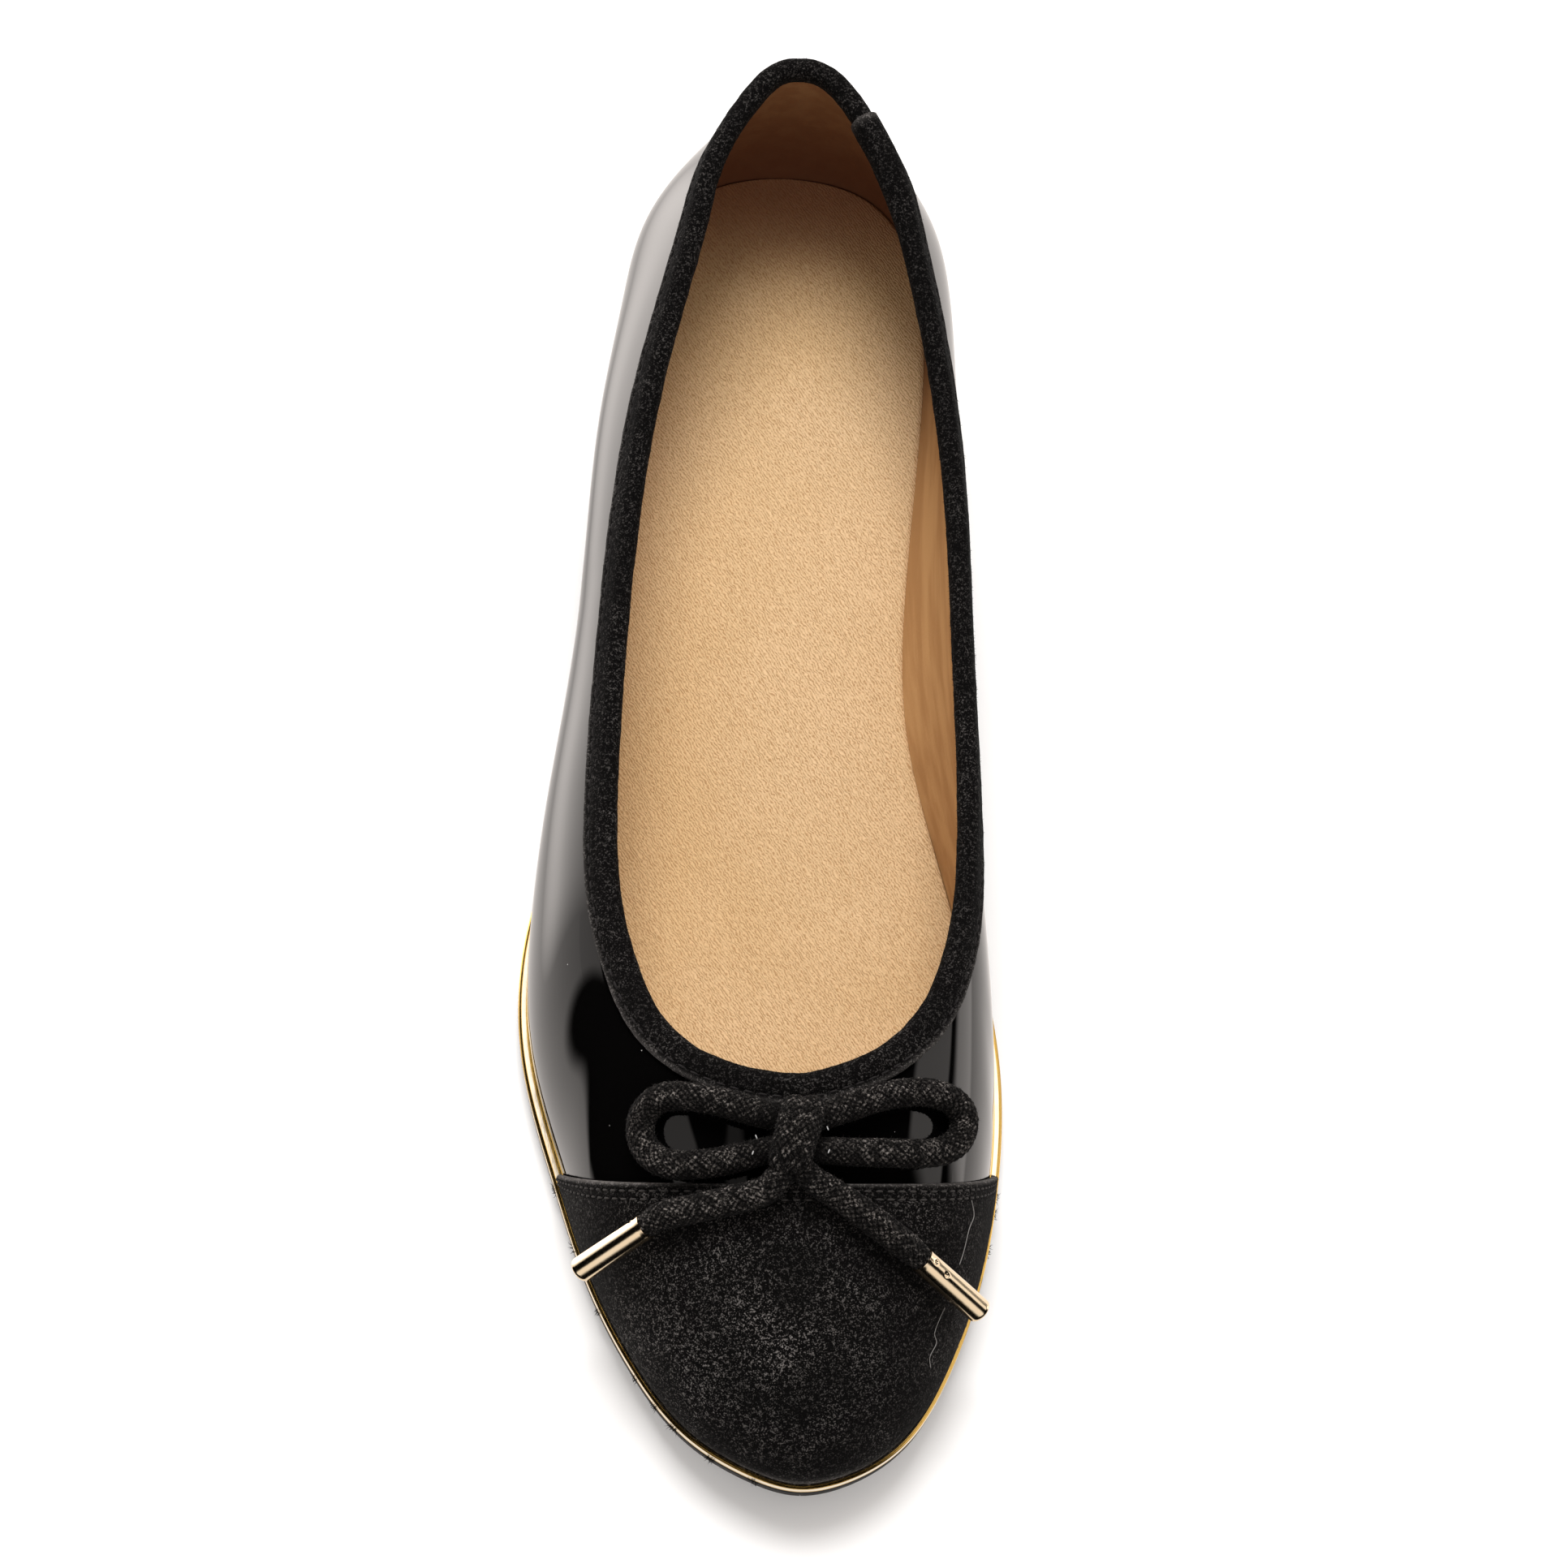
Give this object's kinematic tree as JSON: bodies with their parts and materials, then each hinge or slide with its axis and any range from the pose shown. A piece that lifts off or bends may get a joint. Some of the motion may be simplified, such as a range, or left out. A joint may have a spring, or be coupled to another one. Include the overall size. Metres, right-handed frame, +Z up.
{
  "type": "ballet flat",
  "caption": "Women's slip-on ballet flat with a patent upper, suede toe cap and collar binding, cord bow with metal tips, metallic rand and low heel.",
  "frame": {"origin": "on the floor, on the heel's rest face, on the shoe's long axis and 28 mm in front of the back of the sole", "axes": "+Z up from the floor, +Y from the toe to the heel along the shoe, +X towards the inner side of the right foot"},
  "size_m": [0.0842, 0.2533, 0.06],
  "materials": {
    "patent_leather": "black patent, high gloss",
    "suede": "black suede, brushed nap",
    "sole_rubber": "black, satin",
    "metallic_strip": "pale gold foil, bright",
    "insole_leather": "tan, natural grain",
    "lining_leather": "brown, smooth",
    "cotton_cord": "black braid, matte",
    "tip_metal": "light gold plating, polished"
  },
  "bodies": {
    "root": {"outsole": "sole_rubber", "heel": "sole_rubber", "rand": "metallic_strip", "insole": "insole_leather", "upper": "patent_leather", "toe_cap": "suede", "topline_binding": "suede", "bow_knot": "cotton_cord", "bow_loop_lateral": "cotton_cord", "bow_loop_medial": "cotton_cord", "bow_end_lateral": "cotton_cord", "bow_end_medial": "cotton_cord", "cord_tip_lateral": "tip_metal", "cord_tip_medial": "tip_metal"}
  },
  "joints": []
}
